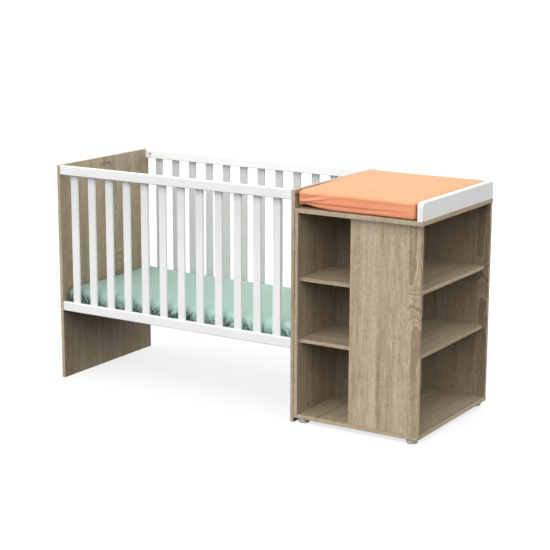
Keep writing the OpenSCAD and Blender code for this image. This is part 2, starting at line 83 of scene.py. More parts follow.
# %% Place the camera
camera_place = Vector((3.51636, -5.59213, 2.00073))
azimuth, elevation, roll = (math.radians(angle) for angle in (31.9121, 12.5474, 0.2091))
lens = bpy.data.cameras.new("camera")
lens.sensor_width = 36
lens.lens = 100.28
lens.clip_end = 500
camera = bpy.data.objects.new("camera", lens)
bpy.context.scene.collection.objects.link(camera)
camera.matrix_world = (
    Matrix.Translation(camera_place)
    @ Matrix.Rotation(azimuth, 4, "Z")
    @ Matrix.Rotation(math.pi / 2 - elevation, 4, "X")
    @ Matrix.Rotation(roll, 4, "Z")
)
bpy.context.scene.camera = camera
print("camera", [round(v, 2) for v in camera.location], "lens", lens.lens, "mm")

# %% [markdown]
# ## A small set of tools for meshes
#
# Every operator in Blender acts on what is selected, and after loading, all the CAD nodes are.
# So the first habit is to deselect everything and pick one piece. The second is to choose faces
# and edges by rule, by where they lie or which way they face, instead of by clicking: a rule still
# works after the piece changes size.

# %% Choose a piece, and choose its edges
scene = bpy.context.scene


def choose(piece):
    """Make this piece the only one selected, and the active one."""
    bpy.ops.object.select_all(action="DESELECT")
    piece.select_set(True)
    bpy.context.view_layer.objects.active = piece


def edit(piece):
    """Go into edit mode on one piece with nothing in its mesh selected."""
    choose(piece)
    bpy.ops.object.mode_set(mode="EDIT")
    bpy.ops.mesh.select_mode(type="EDGE")
    bpy.ops.mesh.select_all(action="DESELECT")


def select(piece, kind, rule):
    """In edit mode, select just the edges or faces that the rule says yes to, and count them."""
    bpy.ops.mesh.select_mode(type=kind)
    bpy.ops.mesh.select_all(action="DESELECT")
    mesh = bmesh.from_edit_mesh(piece.data)
    chosen = [part for part in {"EDGE": mesh.edges, "FACE": mesh.faces}[kind] if rule(part)]
    for part in chosen:
        part.select_set(True)
    mesh.select_flush_mode()
    bmesh.update_edit_mesh(piece.data)
    return len(chosen)


def leave_edit():
    bpy.ops.object.mode_set(mode="OBJECT")


def apply_modifier(piece, kind, **settings):
    """Add one modifier, set it, and make its result the piece's own mesh."""
    choose(piece)
    bpy.ops.object.modifier_add(type=kind)
    modifier = piece.modifiers[-1]
    for name, value in settings.items():
        setattr(modifier, name, value)
    bpy.ops.object.modifier_apply(modifier=modifier.name)


def shade(piece, degrees=40):
    """Smooth shading that breaks at edges sharper than this angle."""
    choose(piece)
    bpy.ops.object.shade_smooth_by_angle(angle=math.radians(degrees))


# %% [markdown]
# ## Boards with eased edges
#
# Real boards are never knife sharp. Melamine boards have an edge band trimmed with a small
# radius, and it is this thin round that catches the light along every edge. A Bevel modifier on
# the whole board would also round the rim of each bolt hole. Instead a copy of the CAD board is
# cleaned up into whole faces, only the long outer edges are chosen, and those are bevelled. The
# copy then stands for the CAD board. The changer top and the two broad panels under it get a
# wider round, so that a seam shows between them. Each board is listed with the run of its grain,
# which the finish will ask for.

# %% Ease the long edges of a board
EDGE_BAND, OPEN_SEAM, HAND_SANDED = 1.1 * MM, 2.0 * MM, 1.5 * MM
SHORTEST_EDGE = 30 * MM
WELD = 0.01 * MM


def body_of(node):
    return nodes[node]["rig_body"]


def stand_for(piece, *node_names, slot):
    """The piece takes the place of these CAD nodes and moves with their body."""
    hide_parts(*node_names)
    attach(piece, body_of(node_names[0]))


def welded_copy(node, name):
    """A copy of a CAD node, left in edit mode with all of it selected and its seams welded."""
    piece = bpy.data.objects.new(name, nodes[node].data.copy())
    scene.collection.objects.link(piece)
    edit(piece)
    bpy.ops.mesh.select_all(action="SELECT")
    bpy.ops.mesh.remove_doubles(threshold=WELD)
    return piece


def eased(node, radius, slot):
    """A copy of a CAD node whose long outer corners are rounded by this radius."""
    piece = welded_copy(node, node + "_eased")
    bpy.ops.mesh.dissolve_limited(angle_limit=math.radians(0.5))

    def long_corner(edge):
        return (
            edge.calc_length() > SHORTEST_EDGE
            and len(edge.link_faces) == 2
            and edge.is_convex
            and math.radians(80) < edge.calc_face_angle(0) < math.radians(100)
        )

    count = select(piece, "EDGE", long_corner)
    bpy.ops.mesh.bevel(offset=radius, segments=2, profile=0.5)
    leave_edit()
    apply_modifier(piece, "WEIGHTED_NORMAL", keep_sharp=True)
    stand_for(piece, node, slot=slot)
    return piece, count


GRAIN = {
    "head_end_panel": "head", "foot_end_panel": "across_y", "cabinet_side_panel": "across_y",
    "cabinet_top": "flat_y", "cabinet_bottom": "flat_y", "front_panel": "across_x",
    "rear_panel": "inside_x", "long_divider": "across_y", "niche_divider": "niche",
    "front_niche_shelf_low": "flat_x", "front_niche_shelf_high": "flat_x",
    "rear_niche_shelf_low": "flat_x", "rear_niche_shelf_high": "flat_x",
    "side_shelf_low": "flat_y", "side_shelf_high": "flat_y",
}
oak_pieces = {}
for board in GRAIN:
    at_the_seam = board in ("cabinet_top", "front_panel", "rear_panel")
    oak_pieces[board], eased_count = eased(
        board, OPEN_SEAM if at_the_seam else EDGE_BAND, "oak_decor")
    print(board, "has", eased_count, "eased edges")

# %% [markdown]
# The slatted base under the mattress is raw planed pine, whose edges are broken by hand with
# sandpaper and come out rounder. Its battens, beams and slats come as groups in one node each,
# which changes nothing: the rule looks at edges, not at boards.

# %% Ease the pine parts of the base
pine_pieces = {}
for part in ("base_side_battens", "base_end_beams", "base_slats", "base_cleats"):
    pine_pieces[part], eased_count = eased(part, HAND_SANDED, "pine")
    print(part, "has", eased_count, "eased edges")

# %% [markdown]
# ## The guard board
#
# The white board at the open end of the changer keeps a rolling child on the mat, so nothing on
# it may be sharp: its two upper corners are turned with a big radius and all round it the faces
# run into the edges in a soft curve. It starts as a cube scaled to the board. First the two upper
# corner edges are bevelled with many segments, then the outline of both faces with a small radius.
# The order matters, because the second bevel has to run along the curve that the first one made.

# %% Model the guard board
def cube_between(name, low, high):
    """A cube primitive put at its size and place, with the place kept in its mesh."""
    bpy.ops.object.select_all(action="DESELECT")
    middle, size = (low + high) / 2, high - low
    bpy.ops.mesh.primitive_cube_add(size=1, location=middle, scale=size)
    piece = bpy.context.active_object
    piece.name = piece.data.name = name
    bpy.ops.object.transform_apply(location=True, rotation=True, scale=True)
    return piece


CORNER_TURN, FACE_ROUND = 20 * MM, 3 * MM
guard_low, guard_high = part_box("guard_board")
guard = cube_between("guard_board_rounded", guard_low, guard_high)
edit(guard)
select(guard, "EDGE", lambda edge: all(
    v.co.z > guard_high.z - MM for v in edge.verts)
    and abs(edge.verts[0].co.x - edge.verts[1].co.x) > 10 * MM)
bpy.ops.mesh.bevel(offset=CORNER_TURN, segments=10, profile=0.5)
outline = select(guard, "EDGE", lambda edge: abs(
    edge.verts[0].co.x - edge.verts[1].co.x) < 0.1 * MM)
bpy.ops.mesh.bevel(offset=FACE_ROUND, segments=4, profile=0.5)
leave_edit()
shade(guard)
apply_modifier(guard, "WEIGHTED_NORMAL", keep_sharp=True)
stand_for(guard, "guard_board", slot="white_lacquer")
print("guard board,", outline, "outline edges rounded,", len(guard.data.polygons), "faces")

# %% [markdown]
# ## The feet
#
# Four moulded discs carry the cabinet. Such a foot has a flange against the board, a thin groove
# below it, and a rounded sole, and it could be spun from a profile. Bevelling and insetting a
# cylinder gives the same shape in fewer steps. Each foot is modelled at its corner by the same
# steps, and the four are joined because the CAD model has them as one node.

# %% Model a foot at each of the four corners
feet_low, feet_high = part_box("cabinet_feet")
foot_radius = 23 * MM
foot_top = feet_high.z
SOLE_INSET, SOLE_HOLLOW, SOLE_ROUND, TOP_ROUND = 5 * MM, 1 * MM, 3.5 * MM, 0.8 * MM
GROOVE_TOP, GROOVE_END, GROOVE_DEPTH = foot_top - 4 * MM, foot_top - 5 * MM, 0.8 * MM


def ring_at(edge, height):
    return all(abs(v.co.z - height) < 0.05 * MM for v in edge.verts)


def model_foot(name, x, y):
    bpy.ops.object.select_all(action="DESELECT")
    bpy.ops.mesh.primitive_cylinder_add(
        vertices=48, radius=foot_radius, depth=foot_top, location=(x, y, foot_top / 2))
    foot = bpy.context.active_object
    foot.name = foot.data.name = name
    bpy.ops.object.transform_apply(location=True, rotation=True, scale=True)
    edit(foot)
    select(foot, "FACE", lambda face: face.normal.z < -0.9)
    bpy.ops.mesh.inset(thickness=SOLE_INSET, depth=0)
    bpy.ops.mesh.inset(thickness=SOLE_HOLLOW, depth=-SOLE_HOLLOW)
    select(foot, "EDGE", lambda edge: ring_at(edge, 0) and all(
        (v.co.xy - Vector((x, y))).length > foot_radius - MM for v in edge.verts))
    bpy.ops.mesh.bevel(offset=SOLE_ROUND, segments=4, profile=0.5)
    select(foot, "EDGE", lambda edge: ring_at(edge, foot_top))
    bpy.ops.mesh.bevel(offset=TOP_ROUND, segments=2, profile=0.5)
    for height in (GROOVE_TOP, GROOVE_END):
        bpy.ops.mesh.select_all(action="SELECT")
        bpy.ops.mesh.bisect(plane_co=(x, y, height), plane_no=(0, 0, 1))
    select(foot, "FACE", lambda face: abs(face.normal.z) < 0.1 and abs(
        face.calc_center_median().z - (GROOVE_TOP + GROOVE_END) / 2) < 0.2 * MM)
    bpy.ops.mesh.extrude_region_shrink_fatten(
        TRANSFORM_OT_shrink_fatten={"value": -GROOVE_DEPTH})
    leave_edit()
    shade(foot)
    return foot


foot_places = [(x, y) for x in (feet_low.x + foot_radius, feet_high.x - foot_radius)
               for y in (feet_low.y + foot_radius, feet_high.y - foot_radius)]
feet = [model_foot("foot_%d" % i, x, y) for i, (x, y) in enumerate(foot_places, 1)]
choose(feet[0])
for foot in feet[1:]:
    foot.select_set(True)
bpy.ops.object.join()
feet = feet[0]
feet.name = feet.data.name = "moulded_feet"
stand_for(feet, "cabinet_feet", slot="grey_plastic")
print("feet", len(feet.data.polygons), "faces")

# %% [markdown]
# ## Soft pieces: how they are made
#
# A mattress and a mat are covers drawn over foam. Subdividing a box gives a pillow with no life
# in it, and sculpting takes a hand. Cloth simulation finds the shape that a stuffed cover takes on
# by itself: the skin is blown up from inside by pressure, with gravity off. It needs an even
# mesh, so the CAD cushion is copied, shrunk by what it will swell, and remeshed in small voxels.
# After twenty frames the skin has blown out much further than foam would let it, so each point
# goes only the first few millimetres of its way. Then the modifier is gone, and the same shape
# comes out each time.

# %% Swell a cushion with cloth pressure
FRAMES = 20


def points(piece):
    """The mesh's points as an array with one row of x, y, z for each."""
    place = np.empty(len(piece.data.vertices) * 3)
    piece.data.vertices.foreach_get("co", place)
    return place.reshape(-1, 3)


def set_points(piece, place):
    piece.data.vertices.foreach_set("co", place.ravel())
    piece.data.update()


def cushion_skin(node, name, shrink, voxel):
    """A closed copy of a CAD cushion, smaller by shrink on every side, in even voxels."""
    piece = welded_copy(node, name)
    low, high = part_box(node)
    middle, size = (low + high) / 2, high - low
    bpy.ops.transform.resize(
        value=[1 - 2 * shrink / side for side in size], center_override=middle)
    leave_edit()
    apply_modifier(piece, "REMESH", mode="VOXEL", voxel_size=voxel)
    return piece


def swell(piece, pressure, cap):
    """Blow the skin up from inside, take each point at most cap of its way, and tell how far the
    skin would have gone on average."""
    start = points(piece)
    choose(piece)
    bpy.ops.object.modifier_add(type="CLOTH")
    cloth = piece.modifiers[-1]
    skin = cloth.settings
    skin.quality = 4
    skin.mass = 0.3
    skin.tension_stiffness = skin.compression_stiffness = 12
    skin.shear_stiffness = 5
    skin.bending_stiffness = 0.8
    skin.use_pressure = True
    skin.uniform_pressure_force = pressure
    skin.effector_weights.gravity = 0
    cloth.point_cache.frame_start, cloth.point_cache.frame_end = 1, FRAMES
    for step in range(1, FRAMES + 1):
        scene.frame_set(step)
    evaluated = piece.evaluated_get(bpy.context.evaluated_depsgraph_get())
    swollen = np.array([v.co for v in evaluated.data.vertices])
    piece.modifiers.remove(cloth)
    scene.frame_set(1)
    move = swollen - start
    far = np.linalg.norm(move, axis=1, keepdims=True)
    set_points(piece, start + move * np.minimum(1, cap / np.maximum(far, 1e-9)))
    return float(far.mean())


print("each cushion gets", FRAMES, "frames to find its shape")

# %% [markdown]
# ## The mattress in its fitted sheet
#
# The mattress lies on the slatted base inside the crib. Its green jersey sheet is stretched over
# the top, which is nearly smooth, and gathered by an elastic under the lower edge. The pressure
# gives the crown, and the gathers are added afterwards, because they are finer than the voxels.

# %% Swell the mattress
mattress_low, mattress_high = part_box("mattress")
mattress = cushion_skin("mattress", "mattress_in_sheet", shrink=5 * MM, voxel=9.5 * MM)
moved = swell(mattress, pressure=4, cap=7 * MM)
print("mattress skin blown out by", round(moved / MM, 1), "mm on average, before the cap")
apply_modifier(mattress, "SUBSURF", levels=1, render_levels=1)
print("mattress skin of", len(mattress.data.vertices), "points")

# %% [markdown]
# The rest is arithmetic on the skin's points, all at once as one array. That could be done with a
# brush in sculpt mode, but a formula gives the same shape in every run. Foam is crisper than a
# blown skin, so the upright corners are pushed out and the shoulders lifted, and at the end the
# cushion is kept flat on what carries it.

# %% Square up a cushion
def fill_out(piece, low, high):
    """Stretch the cushion a little, so that it fills its box on every side."""
    place = points(piece)
    least, most = place.min(axis=0), place.max(axis=0)
    set_points(piece, np.array(low) + (place - least) * np.array(high - low) / (most - least))


def soft_noise(place, scale, seed):
    """Smooth noise from -1 to 1 at each point, the same in every run."""
    shift = Vector((seed * 17.3, seed * 5.1, seed * 9.7))
    return np.array([noise.noise(Vector(p) * scale + shift) for p in place])


def smooth_step(value, start, end):
    share = np.clip((value - start) / (end - start), 0, 1)
    return share * share * (3 - 2 * share)


def outward(piece):
    """The direction each point faces, as an array."""
    facing = np.empty(len(piece.data.vertices) * 3)
    piece.data.vertex_normals.foreach_get("vector", facing)
    return facing.reshape(-1, 3)


def remember(piece, name, share):
    """Keep a number from 0 to 1 for each point, under a name by which the finish can read it."""
    layer = piece.data.attributes.new(name, "FLOAT", "POINT")
    layer.data.foreach_set("value", np.clip(share, 0, 1).astype(np.float32))


def square_up(piece, low, high, push, reach):
    """Foam corners are crisper than the swollen skin's: push the upright corners out again."""
    place = points(piece)
    gap = np.minimum(place - np.array(low), np.array(high) - place)
    way = np.sign(place - (np.array(low) + np.array(high)) / 2)
    near = np.exp(-(gap[:, 0] ** 2 + gap[:, 1] ** 2) / reach ** 2)
    place[:, :2] += way[:, :2] * (push * near)[:, None]
    set_points(piece, place)


def raise_shoulders(piece, low, high):
    """Foam keeps its thickness up to the edge: lift the edges most, and the head end a bit."""
    place = points(piece)
    x, y, z = place.T
    inward = np.minimum(np.minimum(x - low.x, high.x - x), np.minimum(y - low.y, high.y - y))
    head = 0.06 * (1 - smooth_step(x, low.x + 0.06, low.x + 0.40))
    head += 0.08 * (1 - smooth_step(x, low.x, low.x + 0.05))
    stretch = 1.17 - 0.09 * smooth_step(inward, 0.0, 0.2) + head
    place[:, 2] = low.z + (z - low.z) * stretch
    set_points(piece, place)


def settle(piece, place, low, high, spare, crown):
    """Keep a cushion flat on what carries it, and inside its box but for a little to spare."""
    place[:, 2] = np.clip(place[:, 2], low.z, high.z + crown)
    for axis in (0, 1):
        place[:, axis] = np.clip(place[:, axis], low[axis] - spare[axis], high[axis] + spare[axis])
    set_points(piece, place)


fill_out(mattress, mattress_low, mattress_high)
square_up(mattress, mattress_low, mattress_high, push=8 * MM, reach=22 * MM)
raise_shoulders(mattress, mattress_low, mattress_high)
print("mattress squared up,", round(points(mattress)[:, 2].max(), 3), "m at its highest")

# %% [markdown]
# The elastic draws creases up from the hem. Each crease is a line on which a noise passes through
# zero, so it bends and forks as no wave does, and its depth fades with height. How deep a point
# lies in a crease, and how near it is to the gathered hem, stay with the mesh for the finish,
# which paints shade by them.

# %% Gather the sheet
# Each set of creases: how many in a metre, their lean, their depth in mm, and the noise's seed.
CREASES = ((26.0, 0.7, 9.0, 1), (33.0, -0.9, 8.0, 2), (48.0, 0.3, 6.0, 3))


def gather_sheet(piece, low, high):
    """Draw creases up from the hem, and let the whole sheet ripple a little."""
    place, facing = points(piece), outward(piece)
    x, y, z = place.T
    height = (z - low.z) / (high.z - low.z)
    side = 1 - smooth_step(np.abs(facing[:, 2]), 0.35, 0.85)
    drawn = side * (1 - smooth_step(height, 0.35, 0.88))
    ripple = soft_noise(place, 9.0, 4) + 0.5 * soft_noise(place, 23.0, 5)
    move = ripple * 1.2 * (0.4 + 0.6 * side)
    along, folded = x + y, 0
    for scale, lean, deep, seed in CREASES:
        lie = np.column_stack((along + lean * z, 0.30 * z, 0 * along))
        crease_and_shade = np.clip(1 - np.abs(soft_noise(lie, scale, seed)) / 0.20, 0, 1) ** 1.3
        patch = smooth_step(soft_noise(place, 9.0, seed + 20), -0.3, 0.2)
        folded = folded + crease_and_shade * patch * drawn * deep
    # Kept for the finish, which paints shade by them: how deep each point lies in a crease, and
    # how near it is to the gathered hem.
    remember(piece, "crease_and_shade", folded / 8)
    remember(piece, "gather", side * (1 - smooth_step(height, 0.30, 0.75)))
    return place + facing * ((move - folded) * MM)[:, None]


settle(mattress, gather_sheet(mattress, mattress_low, mattress_high),
       mattress_low, mattress_high, spare=(2 * MM, 2 * MM), crown=20 * MM)
choose(mattress)
bpy.ops.object.shade_smooth()
stand_for(mattress, "mattress", slot="mint_sheet")
print("mattress", len(mattress.data.polygons), "faces")

# %% [markdown]
# ## The changing mat
#
# The mat is a flat foam block in a wipe-clean cover. Its top edges are crisp, its sides draw in a
# little, and near its front left corner the hem stands clear of the changer top. It is thinner
# than the mattress, so its voxels are smaller and its skin may move less.

# %% Swell the changing mat
mat_low, mat_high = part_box("changing_mat")
mat = cushion_skin("changing_mat", "changing_mat_cover", shrink=2.5 * MM, voxel=6.5 * MM)
moved = swell(mat, pressure=4, cap=3 * MM)
print("mat skin blown out by", round(moved / MM, 1), "mm on average, before the cap")
apply_modifier(mat, "SUBSURF", levels=1, render_levels=1)
fill_out(mat, mat_low, mat_high)
print("mat skin of", len(mat.data.vertices), "points")

# %% [markdown]
# From the lifted hem the cover is pulled into long flat folds that run along the front. Those are
# what the eye knows the mat by, so each is laid out as a line on the front face, by its height at
# several places from the left, and the cover is pushed out or in beside that line. The hollows of
# the folds, the hem, the right front corner and the rim on which the mat lies stay with the mesh
# as marks, for the finish to darken with painted shade.

# %% Lift the corner and fold the cover
# The folds on the front face, each a line of (x, z) in mm from left to right.
RIDGE = [(350, 942), (366, 944), (401, 948), (448, 956), (480, 963)]
SHALLOW_FOLD = [(366, 950), (396, 957), (440, 969)]
LONG_CREASE = [(350, 933), (541, 932), (655, 931), (740, 934), (850, 935)]
SQUIGGLE = [(650, 922), (690, 926), (718, 928), (770, 925)]


def beside_line(place, line, width):
    """How near a point of the front face is to such a line: 1 on it, 0 away."""
    xs, zs = np.array(line).T * MM
    x, z = place[:, 0], place[:, 2]
    ends = smooth_step(x, xs[0] - 12 * MM, xs[0] + 6 * MM)
    ends = ends * (1 - smooth_step(x, xs[-1] - 30 * MM, xs[-1] + 10 * MM))
    return ends * np.exp(-((z - np.interp(x, xs, zs)) / width) ** 2)


def lift_corner(piece):
    """Lift the hem off the changer top near the left end, and draw in the right end."""
    place = points(piece)
    x, y, z = place.T
    front = 1 - smooth_step(y, mat_low.y, mat_low.y + 80 * MM)
    hem = 1 - smooth_step(z, mat_low.z, mat_low.z + 28 * MM)
    lift = smooth_step(x, 0.346, 0.356) * (1 - smooth_step(x, 0.350, 0.440))
    tip = np.exp(-((x - mat_low.x) / 0.016) ** 2 - ((y - mat_low.y) / 0.018) ** 2)
    edge = np.exp(-((y - mat_low.y) / 0.014) ** 2)
    place[:, 2] += (11 * lift * front - 12 * tip - 5 * edge * (1 - lift)) * hem * MM
    right = np.exp(-((mat_high.x - x) / 0.016) ** 2 - ((y - mat_low.y) / 0.050) ** 2)
    place[:, 0] -= 10 * MM * right
    brow = np.exp(-((mat_high.z - 0.008 - z) / 0.012) ** 2 - ((y - mat_low.y) / 0.012) ** 2)
    place[:, 1] -= 4 * MM * brow
    set_points(piece, place)


def fold_cover(piece):
    """Push the cover out and in along its folds, keep painted shade for their hollows, the hem,
    the right front corner and the rim, and crown the top.
    """
    place, facing = points(piece), outward(piece)
    x, y, z = place.T
    front = smooth_step(-facing[:, 1], 0.3, 0.8)
    ridge, shallow_fold = beside_line(place, RIDGE, 5 * MM), beside_line(place, SHALLOW_FOLD, 6 * MM)
    crease_and_shade = beside_line(place, LONG_CREASE, 4 * MM)
    squiggle = beside_line(place, SQUIGGLE, 3.5 * MM)
    hem = (1 - smooth_step(z, 0.912, 0.934)) * smooth_step(x, 0.38, 0.50)
    fading = 1 - 0.5 * smooth_step(x, 0.60, 0.85)
    move = ridge * 4.0 - shallow_fold * 2.5 - crease_and_shade * 4.5 * fading + hem * 3.5 + squiggle * 1.5
    # Painted shade, kept on the mesh for the finish: the fold hollows, the band under the hem, the
    # right front corner, and the rim on which the mat lies.
    hem_shade = (1 - smooth_step(z, 0.928, 0.934)) * (1 - 0.5 * squiggle)
    shade_marks = np.minimum(0.75, 0.8 * crease_and_shade * fading + 0.35 * shallow_fold + 0.65 * hem_shade)
    corner_shade = smooth_step(x, mat_high.x - 17 * MM, mat_high.x - 10 * MM)
    corner_shade *= 1 - smooth_step(y, mat_low.y + 10 * MM, mat_low.y + 24 * MM)
    corner_shade *= 1 - smooth_step(z, mat_high.z - 16 * MM, mat_high.z - 6 * MM)
    rim_shade = 1 - smooth_step(z, 0.9165, 0.9225)
    rim_shade *= 1 - smooth_step(-facing[:, 2], 0.80, 0.97)
    remember(piece, "crease_and_shade", np.maximum(np.maximum(front * shade_marks, corner_shade), 0.95 * rim_shade))
    move = front * move + 0.5 * soft_noise(place, 8.0, 11) + 0.2 * soft_noise(place, 21.0, 12)
    place += facing * (move * MM)[:, None]
    upper = smooth_step(z, mat_low.z + 0.04, mat_high.z - 0.01)
    back = smooth_step(y, -0.31, 0.05)
    left = 1 - smooth_step(x, mat_low.x, mat_low.x + 0.05)
    left *= smooth_step(y, -0.316, -0.265)
    place[:, 2] += upper * (7 * back + 5 * left) * MM
    return place


lift_corner(mat)
settle(mat, fold_cover(mat), mat_low, mat_high, spare=(1.5 * MM, 7 * MM), crown=11 * MM)
choose(mat)
bpy.ops.object.shade_smooth()
stand_for(mat, "changing_mat", slot="apricot_cover")
print("mat", len(mat.data.polygons), "faces")

# %% [markdown]
# ## A map for the cloth
#
# A weave follows the cover round its corners, so it can't be a pattern that fills space. Each
# cushion gets its own UV map, measured in metres: every face takes the two directions that it
# lies along, and the threads keep their real size on the top, the sides and the ends.

# %% Lay a map over the cushions
def lay_map(piece):
    mesh = piece.data
    layer = mesh.uv_layers.new(name="cloth")
    spread = np.zeros((len(mesh.loops), 2))
    place = points(piece)
    for face in mesh.polygons:
        main = max(range(3), key=lambda axis: abs(face.normal[axis]))
        lie = [axis for axis in range(3) if axis != main]
        for loop in face.loop_indices:
            spread[loop] = place[mesh.loops[loop].vertex_index][lie]
    layer.data.foreach_set("uv", spread.ravel())


for cushion in (mattress, mat):
    lay_map(cushion)
    print(cushion.name, "mapped,", len(cushion.data.loops), "corners")

# %% [markdown]
# ## A small set of tools for finishes
#
# A finish is a tree of nodes: coordinates go in on the left, textures and sums make patterns from
# them, and one Principled shader on the right turns the patterns into light. Short helpers keep
# the trees readable: they start a finish, add any node with its inputs wired, and do arithmetic.
# A value that is the same all over is set on the shader's own socket.

# %% Start a finish, add a node, do a sum
def new_finish(name, **fixed):
    """A new material, its tree, its shader with the fixed values set, and object coordinates."""
    material = bpy.data.materials.new(name)
    material.use_nodes = True
    tree = material.node_tree
    tree.nodes.clear()
    output = tree.nodes.new("ShaderNodeOutputMaterial")
    shader = tree.nodes.new("ShaderNodeBsdfPrincipled")
    tree.links.new(shader.outputs[0], output.inputs[0])
    for socket, value in fixed.items():
        shader.inputs[socket.replace("_", " ")].default_value = value
    return material, tree, shader, add(tree, "TexCoord", {}, out=3)


def wire(tree, value, socket):
    """Put a number, a colour or another node's output into a socket."""
    if isinstance(value, bpy.types.NodeSocket):
        tree.links.new(value, socket)
    else:
        socket.default_value = value


def add(tree, kind, inputs, out=0, **settings):
    """Add a node, set it, wire its inputs, and hand back one of its outputs."""
    node = tree.nodes.new("ShaderNode" + kind)
    for name, value in settings.items():
        setattr(node, name, value)
    for key, value in inputs.items():
        wire(tree, value, node.inputs[key])
    return node.outputs[out]


def sum_of(tree, operation, first, second=0.0, third=0.0):
    return add(tree, "Math", {0: first, 1: second, 2: third}, operation=operation)


def times(tree, first, second):
    return sum_of(tree, "MULTIPLY", first, second)


def minus(tree, first, second):
    return sum_of(tree, "SUBTRACT", first, second)


def vector_of(tree, operation, first, second):
    return add(tree, "VectorMath", {0: first, 1: second}, operation=operation)


def axes_of(tree, vector):
    """The x, y and z of a vector, as three outputs."""
    node = tree.nodes.new("ShaderNodeSeparateXYZ")
    wire(tree, vector, node.inputs[0])
    return list(node.outputs)


print(len(bpy.data.materials), "materials before the first finish")

# %% [markdown]
# Nearly every pattern here is noise. Stretched along Z it is wood grain, and left even it is an
# uneven film of paint or a cloud in a cloth. A range of it can be picked out, so that a slow wave
# becomes a row of pores, and the result blends two colours or tints one.

# %% Make noise, pick out a range, and blend colours
def grain_noise(tree, place, across, along, detail=2.0, roughness=0.5, out=0):
    """Noise stretched along Z: across and along are how many patches fit in a metre."""
    stretched = vector_of(tree, "MULTIPLY", place, (across, across, along))
    return add(tree, "TexNoise", {"Vector": stretched, "Scale": 1.0, "Detail": detail,
                                  "Roughness": roughness}, out=out)


def cloudy(tree, place, scale, detail=2.0):
    """Even noise: scale is how many patches fit in a metre."""
    return add(tree, "TexNoise", {"Vector": place, "Scale": scale, "Detail": detail})


def wander(tree, place, across, along, reach):
    """The place, led aside by a slow noise, so that no grain runs quite straight."""
    slow = vector_of(tree, "SUBTRACT", grain_noise(tree, place, across, along, out=1),
                     (0.5, 0.5, 0.5))
    return vector_of(tree, "ADD", place, vector_of(tree, "MULTIPLY", slow, (reach, reach, 0)))


def between(tree, value, low, high, to_low=0.0, to_high=1.0, interpolation="LINEAR"):
    """Rescale a value from one range to another, and stop at both ends."""
    return add(tree, "MapRange", {0: value, 1: low, 2: high, 3: to_low, 4: to_high},
               interpolation_type=interpolation)


def rgb(red, green, blue):
    """A colour read off a screen, 0 to 255, as the linear light that a shader works in."""
    def linear(level):
        share = level / 255
        return share / 12.92 if share < 0.04045 else ((share + 0.055) / 1.055) ** 2.4
    return (linear(red), linear(green), linear(blue), 1.0)


def grey(level):
    return (level, level, level, 1.0)


def ramp(tree, value, stops):
    """Turn a value from 0 to 1 into a colour, by stops of (place, colour) in rising order."""
    node = tree.nodes.new("ShaderNodeValToRGB")
    wire(tree, value, node.inputs[0])
    elements = node.color_ramp.elements
    for i in (0, -1):
        elements[i].position, elements[i].color = stops[i]
    for place, colour in stops[1:-1]:
        elements.new(place).color = colour
    return node.outputs[0]


def blend_colours(tree, share, first, second, way="MIX"):
    return add(tree, "Mix", {0: share, 6: first, 7: second}, out=2, data_type="RGBA",
               blend_type=way)


def tinted(tree, share, colour, tint):
    """Multiply a colour by a tint, as far as the share says, from 0 to 1."""
    return blend_colours(tree, share, colour, tint, "MULTIPLY")


print("a mid grey of 128 is", round(rgb(128, 128, 128)[0], 3), "in linear light")

# %% [markdown]
# The last step of every finish is the same: the colour, the roughness and a fine relief go into
# the shader. One helper darkens the first centimetres under a ledge, where soft light alone
# leaves the boards and slats brighter than the picture has them. It goes by height, so the shade
# stays in its place from every side.

# %% Shade under a ledge, and wire up a shader
DEEP_SHADE = grey(0.42)


def under_ledge(tree, colour, height, ledge, slow=0.0, where=1.0):
    """Darken a colour over the first centimetres below a ledge, which is at this height."""
    near = between(tree, height, ledge - 0.020, ledge, 0.0, 0.55, "SMOOTHSTEP")
    wide = between(tree, height, ledge - 0.060, ledge - 0.008, 0.0, 0.45, "SMOOTHSTEP")
    long = between(tree, height, ledge - 0.30, ledge - 0.05, 0.0, slow)
    share = sum_of(tree, "MAXIMUM", sum_of(tree, "ADD", near, wide), long)
    below = times(tree, sum_of(tree, "LESS_THAN", height, ledge), where)
    return tinted(tree, times(tree, share, below), colour, DEEP_SHADE)


def dress(tree, shader, colour, uneven, dull, relief=None, span=(0.3, 0.7)):
    """Wire up a shader: its colour, a roughness between the two values in dull that follows an
    uneven pattern, and a relief for the light only, given as (height, strength, metres)."""
    wire(tree, colour, shader.inputs["Base Color"])
    wire(tree, between(tree, uneven, *span, *dull), shader.inputs["Roughness"])
    if relief is not None:
        bump = add(tree, "Bump", dict(zip(("Height", "Strength", "Distance"), relief)))
        wire(tree, bump, shader.inputs["Normal"])


print("the deepest shade leaves", DEEP_SHADE[0], "of a colour's light")

# %% [markdown]
# ## Oak decor
#
# The boards are chipboard under a printed oak decor, a sawn oak look in a greyed tan. Object
# coordinates make the pattern solid, so it runs through each board and round its edges as veneer
# never could, but as a decor with a matching edge band does. On the ends, and in the outer strip
# of the front and the back, the decor shows a flat-sawn board, whose rings close into arches.
# They are circles round a pith, and a list gives the tone at each radius in millimetres. One slow
# growing year on the front is a darker streak that fades out upwards.

# %% Figures of a flat-sawn board
RINGS = [(0, 0.37), (15, 0.33), (17, 0.38), (20, 0.64), (24, 0.54), (31, 0.44), (36, 0.60),
         (39, 0.42), (50, 0.48), (60, 0.55), (64, 0.38), (69, 0.36), (72, 0.60), (78, 0.48),
         (92, 0.50)]
WIDEST = RINGS[-1][0]


